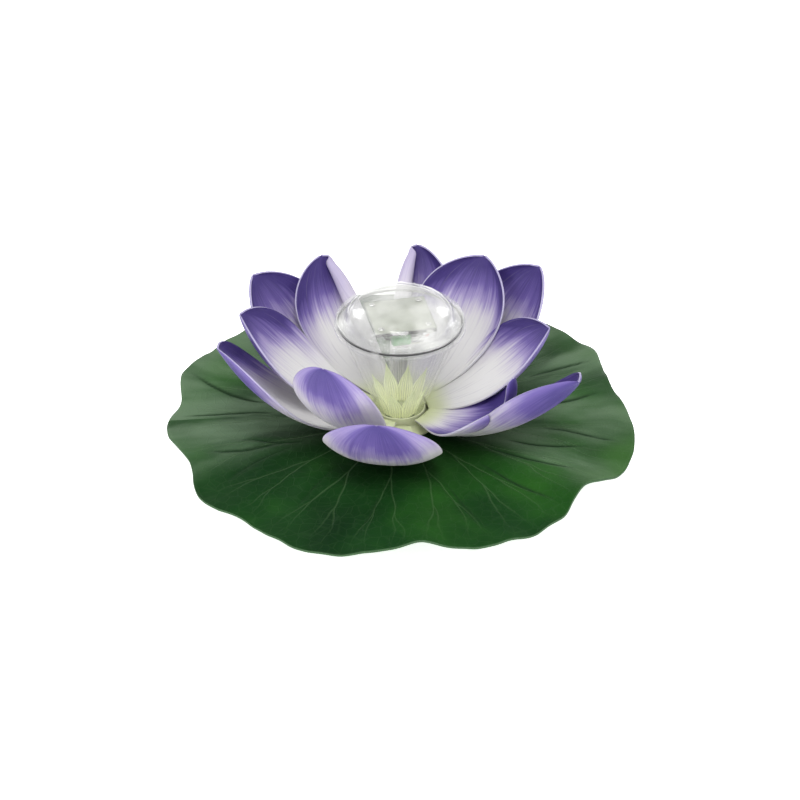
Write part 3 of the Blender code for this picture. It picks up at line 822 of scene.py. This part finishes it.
def petal_width(share, widest, tongue):
    """Flattened width of a petal at a share of its length; a tongue carries it on past a shorter blade."""
    reach = share / (1 - TONGUE_SHARE) if tongue else share
    fall = BELL_RISE * (1 - WIDEST_AT) / WIDEST_AT
    bell = (reach / WIDEST_AT) ** BELL_RISE * (max(1 - reach, 0.0) / (1 - WIDEST_AT)) ** fall
    root = ROOT_SHARE * (1 - share)
    blade = widest * (root + (1 - root) * bell)
    if not tongue:
        return max(blade, TIP_WIDTH)
    rounding = max(share - TONGUE_ROUND, 0.0) / (1 - TONGUE_ROUND)
    end = tongue * sqrt(1 - rounding**4)
    return max((blade**4 + end**4) ** 0.25, TIP_WIDTH)


def midrib(shape, rows):
    """Stations along the middle of a petal that grows along +X: (share, point, side, up)."""
    _, length, _, rise, _, roll, _ = shape
    every = FINE_STEPS // (rows - 1)
    fine = every * (rows - 1)
    point = Vector((0.0, 0.0, 0.0))
    stations = []
    for step in range(fine + 1):
        share = step / fine
        angle = radians(
            rise[0] * (1 - share) * (1 - 2 * share)
            + 4 * rise[1] * share * (1 - share)
            + rise[2] * share * (2 * share - 1)
        )
        along = Vector((cos(angle), 0.0, sin(angle)))
        upward = Vector((-sin(angle), 0.0, cos(angle)))
        lean = radians(roll) * (1 - (1 - share) ** 2)
        side = Vector((0.0, cos(lean), 0.0)) + upward * sin(lean)
        up = upward * cos(lean) - Vector((0.0, sin(lean), 0.0))
        if step % every == 0:
            stations.append((share, point.copy(), side, up))
        point += along * (length / fine)
    return stations


def petal_point(station, place, shape, margin):
    """The point of a petal at a station of its midrib, with place from -1 to 1 across it."""
    share, point, side, up = station
    width = petal_width(share, shape[2] + 2 * margin, shape[6])
    edge_curl = shape[4][0] if place < 0 else shape[4][1]
    power = ROLL_POWER if edge_curl > ROLLS_OVER else CURL_POWER
    grown = sin(0.5 * pi * (0.15 + 0.85 * share))
    curl = min(radians(edge_curl) * grown, width / 2 / TIGHTEST_CURL)
    across, rise = 0.0, 0.0
    arc = abs(place) * width / 2 / ARC_STEPS
    for step in range(ARC_STEPS):
        angle = curl * ((step + 0.5) / ARC_STEPS * abs(place)) ** power
        across += cos(angle) * arc
        rise += sin(angle) * arc
    return point + side * copysign(across, place) + up * rise


def petal_sheet(name, shape, rows, columns, margin):
    """The open middle surface of a petal, wider by the margin on both sides."""
    places = [2.0 * column / (columns - 1) - 1.0 for column in range(columns)]
    grid = [
        [petal_point(station, place, shape, margin) for place in places]
        for station in midrib(shape, rows)
    ]
    return grid_mesh(name, grid, 70.0)


def thick_petal(name, looks, rows, columns, thickness, margin=0.0):
    """A petal as a closed foam body on the hub, its margin wider than its shape on both sides."""
    sheet = petal_sheet(name, PETALS[name], rows, columns, margin)
    petal = add_object(name, sheet)
    thicken_sheet(petal, thickness)
    for material in looks:
        petal.data.materials.append(material)
    radius, height = INNER_ROOT if "inner" in name else OUTER_ROOT
    azimuth = PETALS[name][0]
    return settle(petal, ring_place(radius, azimuth, height), (0, 0, azimuth))


def island_of(start):
    """The vertices joined to one vertex by edges."""
    island, front = {start}, [start]
    while front:
        vertex = front.pop()
        for edge in vertex.link_edges:
            other = edge.other_vert(vertex)
            if other not in island:
                island.add(other)
                front.append(other)
    return island


def keep_largest_island(mesh):
    """Drops the loose pieces that a cut leaves behind."""
    shell = bmesh.new()
    shell.from_mesh(mesh)
    left = set(shell.verts)
    islands = []
    while left:
        island = island_of(next(iter(left)))
        left -= island
        islands.append(island)
    largest = max(islands, key=len)
    spare = [vertex for vertex in shell.verts if vertex not in largest]
    bmesh.ops.delete(shell, geom=spare, context="VERTS")
    shell.to_mesh(mesh)
    shell.free()


def build_petals():
    """Each petal stops a small gap short of the petals that lie over it."""
    face = petal_inner_material("petal_inner_face")
    back = petal_outer_material("petal_outer_face")
    rim = petal_rim_material()
    looks = dict.fromkeys(PETALS, (face, back, rim))
    looks[DEEP_SPRAYED] = (petal_inner_material("petal_inner_deep", 0.42), back, rim)
    rolled = petal_outer_material("petal_outer_rolled", 0.15, 0.24)
    looks.update(dict.fromkeys(ROLLED_OVER, (face, rolled, rim)))
    light = petal_outer_material("petal_outer_light", 0.45, 0.45, -0.09)
    looks.update(dict.fromkeys(LIGHT_BACKED, (face, light, rim)))
    thick = PETAL_FOAM + 2 * PETAL_GAP
    cutters = {
        name: thick_petal(name, (face, back, rim), CUTTER_ROWS, CUTTER_COLUMNS, thick, PETAL_GAP)
        for name in PETALS
    }
    above = []
    for name, shape in PETALS.items():
        petal = thick_petal(name, looks[name], PETAL_ROWS, PETAL_COLUMNS, PETAL_FOAM)
        for other in above:
            if azimuth_gap(shape[0], PETALS[other][0]) < NEIGHBOUR_GAP:
                cut_by(petal, cutters[other])
        settle(petal)
        keep_largest_island(petal.data)
        petal.name = f"foam_{name}"
        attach(petal, "flower")
        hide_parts(name)
        above.append(name)
    for wide in cutters.values():
        bpy.data.objects.remove(wide)


# ---------------------------------------------------------------- cup and what stands in it

def flutes(turn, height):
    """How far the fine upright flutes of the cup move its wall, fading out at its foot and rim."""
    fade = min(max((height - 27.0) / 6.0, 0.0), 1.0) * min(max((83.5 - height) / 4.0, 0.0), 1.0)
    return FLUTE_DEPTH * fade * cos(CUP_FLUTES * turn)


def tab_box(name, size, bevel, radius, height):
    """A box that lies across the rim of the cup where the pry tab of the lid is."""
    mesh = box_mesh(name, size, (0, 0, 0), bevel, TAB_TURN)
    mesh.transform(Matrix.Translation(ring_place(radius, TAB_AZIMUTH, height) * MM))
    return mesh


def build_cup():
    profile = (
        (0.0, 26.0), (9.6, 26.0), (11.0, 27.4), (16.2, 40.0), (20.4, 51.0), (25.2, 63.4), (28.8, 72.8),
        (32.6, 82.6), (33.2, 84.6), (34.2, RIM_TOP), (38.7, RIM_TOP), (39.1, 86.6), (39.1, 85.2),
        (38.8, 84.8), (35.2, 84.4), (34.4, 82.6), (30.6, 72.6), (27.0, 63.0), (22.5, 51.2),
        (18.0, 39.5), (12.3, 24.4), (12.0, 23.9), (9.0, 23.9), (9.0, 1.8), (8.4, 1.2), (0.0, 1.2),
    )
    mesh = turned_mesh("cup_clear", smooth_profile(profile), 6 * CUP_FLUTES, flutes)
    plastic = clear_material("cup_clear", 0.06, 0.0005, 30.0, GLOW_TOP)
    cup = add_piece("cup_clear", mesh, [plastic], "flower", "cup_plastic", "cup")
    cut_out(cup, tab_box("notch", (5.0, 3.0, 3.0), 0.1, 39.2, RIM_TOP))


def stamen_sheet(name, azimuth, height):
    """One pointed leaflet with lengthwise ribs that leans out along the wall of the cup."""
    grid = []
    for row in range(STAMEN_ROWS):
        share = row / (STAMEN_ROWS - 1)
        swell = 0.42 + 0.58 * sin(pi * min(share * 0.85 + 0.15, 1.0))
        width = max(STAMEN_WIDTH * swell * (1 - share**3), 0.5)
        lean = 0.28 * height * share + 0.07 * height * share**2
        line = []
        for column in range(STAMEN_COLUMNS):
            place = column / (STAMEN_COLUMNS - 1)
            across = (place - 0.5) * width
            rib = 0.22 * cos(STAMEN_RIBS * place) * (1 - share)
            radius = STAMEN_RADIUS + lean + rib - 0.035 * across**2
            around = azimuth + degrees(across / radius)
            line.append(ring_place(radius, around, STAMEN_FOOT + height * share))
        grid.append(line)
    return grid_mesh(name, grid, 60.0)


def build_stamens():
    material = stamen_material()
    for index in range(STAMEN_COUNT):
        name = f"stamen_{index}"
        height = STAMEN_HEIGHT + 3.0 * (index % 2) + 1.2 * sin(2.3 * index)
        mesh = stamen_sheet(name, STAMEN_AZIMUTH + 360.0 * index / STAMEN_COUNT, height)
        leaflet = add_piece(name, mesh, [material], "flower", "stamen_plastic", "stamen_crown")
        shell = leaflet.modifiers.new("thickness", "SOLIDIFY")
        shell.thickness = STAMEN_THICKNESS * MM
        shell.offset = -1.0


# ---------------------------------------------------------------- lid

def build_dome():
    profile = (
        (0.0, 104.4), (6.3, 104.3), (10.5, 104.1), (14.2, 103.8), (17.3, 103.4), (20.6, 102.7),
        (22.9, 101.9), (24.8, 101.0), (26.9, 99.9), (28.6, 98.9), (30.1, 97.6), (31.3, 96.0),
        (32.8, 92.8), (33.3, 92.0), (34.2, 91.7), (34.7, 92.3), (35.4, 92.3), (35.9, 91.6),
        (37.4, 91.7), (38.0, 91.2), (38.0, 90.4), (31.8, 90.4), (31.4, 92.4), (29.9, 95.2),
        (27.5, 97.8), (26.0, 98.8), (24.2, 99.7), (22.3, 100.6), (20.2, 101.3), (17.0, 102.0),
        (10.5, 102.7), (5.2, 102.95), (0.0, 103.0),
    )
    mesh = turned_mesh("dome_clear", smooth_profile(profile, 0.5))
    plastic = clear_material("dome_clear", 0.10, 0.00002)
    add_piece("dome_clear", mesh, [plastic], "lid", "dome_plastic", "lid_dome")


def build_tray():
    profile = (
        (0.0, 90.1), (38.0, 90.1), (38.3, 89.8), (38.3, 89.2), (38.0, 88.9), (30.9, 88.9),
        (30.7, 81.8), (30.3, 81.2), (29.4, 81.2), (29.0, 81.6), (29.0, 88.9), (0.0, 88.9),
    )
    mesh = turned_mesh("tray_clear", smooth_profile(profile, 0.25))
    material = clear_material("tray_clear", 0.09, 0.00005)
    add_piece("tray_clear", mesh, [material], "lid", "tray_plastic", "lid_tray")
    tab = tab_box("pry_tab", (5.0, 3.0, 0.9), 0.25, 39.0, 89.5)
    add_piece("pry_tab", tab, [material], "lid", "tray_plastic")


def build_seal():
    """A near-black ring between the rim of the cup and the tray that draws the dark line along the seam:
    painted shade standing for the shadow in the seam.
    """
    ring = []
    for step in range(17):
        turn = 2 * pi * step / 16
        ring.append((
            SEAL_RADIUS + SEAL_THICKNESS * cos(turn), SEAL_HEIGHT - SEAL_THICKNESS * sin(turn)
        ))
    mesh = turned_mesh("seal_ring", ring)
    # Painted shade: the ring is coloured near black to draw the shadow line of the seam.
    seal_black_shade = grained_material("seal_rubber", (0.03,) * 3, (0.06,) * 3, 0.6, 900.0, 0.0001)
    add_piece("seal_ring", mesh, [seal_black_shade], "lid", "seal_rubber", "lid_seal")


def corner_places():
    return [(x, y) for x in (-SCREW_REACH, SCREW_REACH) for y in (-SCREW_REACH, SCREW_REACH)]


def build_panel():
    """The solar plate: a pale resin face on a dark backing with a skirt, and a clip at its front."""
    face = box_mesh("panel_plate", (PANEL_SIDE, PANEL_SIDE, 0.5), (0, 0, 92.75), 0.15)
    add_piece("panel_plate", face, [panel_material()], "lid", "panel_face", "solar_panel")
    wide = PANEL_SIDE - 0.4
    backing = [box_mesh("backing", (wide, wide, 1.0), (0, 0, 92.0), 0.12)]
    for side in (-1, 1):
        edge = side * (PANEL_SIDE / 2 - 0.7)
        backing.append(box_mesh("wall", (wide, 1.0, 1.2), (0, edge, 90.9), 0.1))
        backing.append(box_mesh("wall", (1.0, wide - 2.0, 1.2), (edge, 0, 90.9), 0.1))
    dark = grained_material(
        "panel_back", (0.015, 0.017, 0.014), (0.04, 0.042, 0.036), 0.35, 600.0, 0.0001
    )
    add_piece("panel_backing", joined("panel_backing", backing), [dark], "lid", "panel_face")
    front = -PANEL_SIDE / 2
    clip = joined("panel_clip", [
        box_mesh("clip", (4.2, 0.7, 2.6), (14.0, front - 0.7, 91.5), 0.15),
        box_mesh("clip_lip", (4.2, 1.5, 0.4), (14.0, front - 0.3, 93.3), 0.12),
    ])
    steel = brushed_material("clip_steel", (0.40, 0.40, 0.38), 0.3)
    add_piece("panel_clip", clip, [steel], "lid", "screw_steel")


def build_screws():
    steel = brushed_material("screw_steel", (0.80, 0.80, 0.78), 0.22)
    profile = (
        (0.0, 94.3), (0.9, 94.25), (1.5, 94.0), (1.9, 93.6), (1.9, 93.25), (0.85, 93.25), (0.85, 91.4),
        (0.0, 91.4),
    )
    for index, (x, y) in enumerate(corner_places(), start=1):
        mesh = turned_mesh(f"screw_{index}", smooth_profile(profile, 0.15), SMALL_STEPS)
        mesh.transform(Matrix.Translation(turned_place(x, y, 0.0) * MM))
        screw = add_piece(
            f"screw_{index}", mesh, [steel], "lid", "screw_steel", f"panel_screw_{index}"
        )
        for turn in (0.0, 90.0):
            cut_out(screw, box_mesh("slot", (2.6, 0.4, 1.0), (x, y, 94.4), 0.02, PANEL_TURN + turn))


def lying(mesh, place):
    """Lays a turned shape along the solar plate's X axis at a place in its frame."""
    turned = Matrix.Rotation(radians(PANEL_TURN), 4, "Z")
    laid = Matrix.Rotation(radians(90.0), 4, "Y")
    mesh.transform(Matrix.Translation(turned_place(*place) * MM) @ turned @ laid)
    return mesh


def build_battery():
    """The rechargeable cell in its green sleeve, and its contact end."""
    sleeve = (
        (0.0, 5.5), (3.2, 5.5), (3.7, 5.4), (4.1, 5.0), (4.1, -5.0), (3.7, -5.4), (3.2, -5.5),
        (0.0, -5.5),
    )
    cell = turned_mesh("battery_cell", smooth_profile(sleeve, 0.3), CELL_STEPS)
    green = grained_material("battery_green", (0.05, 0.33, 0.07), (0.09, 0.46, 0.11), 0.28, 300.0, 0.00005)
    add_piece(
        "battery_cell", lying(cell, (-2.2, CELL_Y, CELL_Z)), [green], "lid", "battery_sleeve", "battery"
    )
    cap = (
        (0.0, 4.6), (1.2, 4.6), (1.4, 4.4), (1.4, 3.7), (3.3, 3.7), (3.9, 3.2), (3.9, 2.2),
        (3.75, 2.0), (3.9, 1.8), (3.9, -3.3), (3.5, -3.7), (0.0, -3.7),
    )
    end = turned_mesh("battery_end", smooth_profile(cap, 0.2), CELL_STEPS)
    nickel = brushed_material("battery_nickel", (0.76, 0.76, 0.74), 0.26)
    add_piece(
        "battery_end", lying(end, (7.4, CELL_Y, CELL_Z)), [nickel], "lid", "battery_metal", "battery_cap"
    )


def build_board():
    """The circuit board with its small parts on the underside, in reach of the cell and the switch."""
    board = box_mesh("board", (27.0, 18.0, 1.2), (0, 5.0, 87.4), 0.08)
    mask = grained_material("board_mask", (0.02, 0.16, 0.05), (0.035, 0.24, 0.08), 0.35, 400.0, 0.00006)
    add_piece("board", board, [mask], "lid", "board_green", "circuit_board")
    tin = brushed_material("solder_tin", (0.74, 0.74, 0.72), 0.3)
    chip = grained_material("chip_black", (0.02, 0.02, 0.022), (0.045, 0.045, 0.05), 0.45, 700.0, 0.00008)
    small = (2.0, 1.2, 0.7)
    chips = [
        box_mesh("chip", size, (x, y, 86.8 - size[2] / 2), 0.12)
        for size, x, y in (((5.0, 4.0, 1.2), 7.0, 1.5), (small, -6.5, 1.0), (small, -9.5, 3.5))
    ]
    add_piece("board_chips", joined("board_chips", chips), [chip], "lid", "switch_black")
    pads = [
        box_mesh("pad", (1.1, 0.5, 0.35), (7.0 + 1.3 * step - 1.95, y, 86.65), 0.06)
        for step in range(4) for y in (-0.8, 3.8)
    ]
    strips = [box_mesh("contact", (0.5, 3.2, 2.2), (x, -5.5, 86.0), 0.12) for x in (-11.0, 12.6)]
    contacts = joined("board_contacts", [*pads, *strips])
    add_piece("board_contacts", contacts, [tin], "lid", "battery_metal")


def build_lamp():
    profile = (
        (0.0, 86.5), (2.9, 86.5), (2.9, 85.5), (2.45, 85.4), (2.45, 81.2), (2.3, 80.3), (2.0, 79.5),
        (1.5, 79.0), (0.8, 78.7), (0.0, 78.6),
    )
    mesh = turned_mesh("lamp_lens", smooth_profile(profile, 0.25), 72)
    add_piece("lamp_lens", mesh, [lamp_material()], "lid", "lamp_epoxy", "led_lamp")


def finish_cad_nodes():
    """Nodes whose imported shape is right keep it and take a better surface."""
    foam = grained_material("float_foam", (0.05, 0.13, 0.05), (0.10, 0.21, 0.09), 0.82, 700.0, 0.0003)
    nut = grained_material("nut_black", (0.02, 0.02, 0.022), (0.05, 0.05, 0.055), 0.55, 900.0, 0.0002)
    hub = grained_material("hub_pale", (0.60, 0.64, 0.38), (0.68, 0.72, 0.48), 0.5, 500.0, 0.0001)
    tin = brushed_material("switch_tin", (0.72, 0.72, 0.70), 0.32)
    slider = grained_material("slider_black", (0.015,) * 3, (0.04,) * 3, 0.5, 900.0, 0.0001)
    red = grained_material("wire_red", (0.42, 0.02, 0.015), (0.62, 0.04, 0.03), 0.4, 600.0, 0.00005)
    black = grained_material("wire_black", (0.012,) * 3, (0.03,) * 3, 0.4, 600.0, 0.00005)
    looks = {
        "float_disc": foam, "base_nut": nut, "petal_hub": hub, "switch_body": tin, "switch_slider": slider,
        "wire_panel_pos": red, "wire_cell_pos": red, "wire_panel_neg": black, "wire_cell_neg": black,
    }
    for name, material in looks.items():
        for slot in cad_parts[name].material_slots:
            slot.link = "OBJECT"
            slot.material = material


# ---------------------------------------------------------------- studio

def build_lights():
    """Square soft lights aimed at the middle of the object."""
    for name, place, power, size in LIGHTS:
        lamp = bpy.data.lights.new(name, "AREA")
        lamp.energy = power
        lamp.size = size
        light = add_object(name, lamp)
        light.location = place
        light.rotation_euler = (Vector(TARGET) - Vector(place)).to_track_quat("-Z", "Y").to_euler()


def build_studio():
    """A plain white floor and surroundings."""
    world = bpy.data.worlds.new("studio")
    bpy.context.scene.world = world
    world.use_nodes = True
    background = world.node_tree.nodes["Background"]
    background.inputs["Color"].default_value = WHITE
    background.inputs["Strength"].default_value = 0.6
    shell = bmesh.new()
    bmesh.ops.create_grid(shell, x_segments=8, y_segments=8, size=4.0)
    floor = add_object("floor", finish_mesh(shell, "floor"))
    mat = Graph("floor_white")
    soft = mat.noise(mat.place(), 3.0)
    floor.data.materials.append(mat.finish(mat.surface(
        Base_Color=mat.ramp(soft, (0.3, (0.93,) * 3), (0.7, (0.95,) * 3)),
        Roughness=0.9, Specular_IOR_Level=0.1,
        Emission_Color=WHITE, Emission_Strength=0.8,
    )))
    bpy.context.scene.view_settings.view_transform = "Standard"


def build_camera():
    camera = add_object("camera", bpy.data.cameras.new("camera"))
    camera.data.lens = LENS
    camera.data.clip_start = 0.05
    rise = radians(ELEVATION)
    camera.location = Vector(TARGET) + DISTANCE * Vector((0.0, -cos(rise), sin(rise)))
    aim = Vector(TARGET) - camera.location
    camera.rotation_euler = aim.to_track_quat("-Z", "Y").to_euler()
    bpy.context.scene.camera = camera


build_leaf()
build_petals()
build_cup()
build_stamens()
build_dome()
build_tray()
build_seal()
build_panel()
build_screws()
build_battery()
build_board()
build_lamp()
finish_cad_nodes()
build_studio()
build_lights()
build_camera()
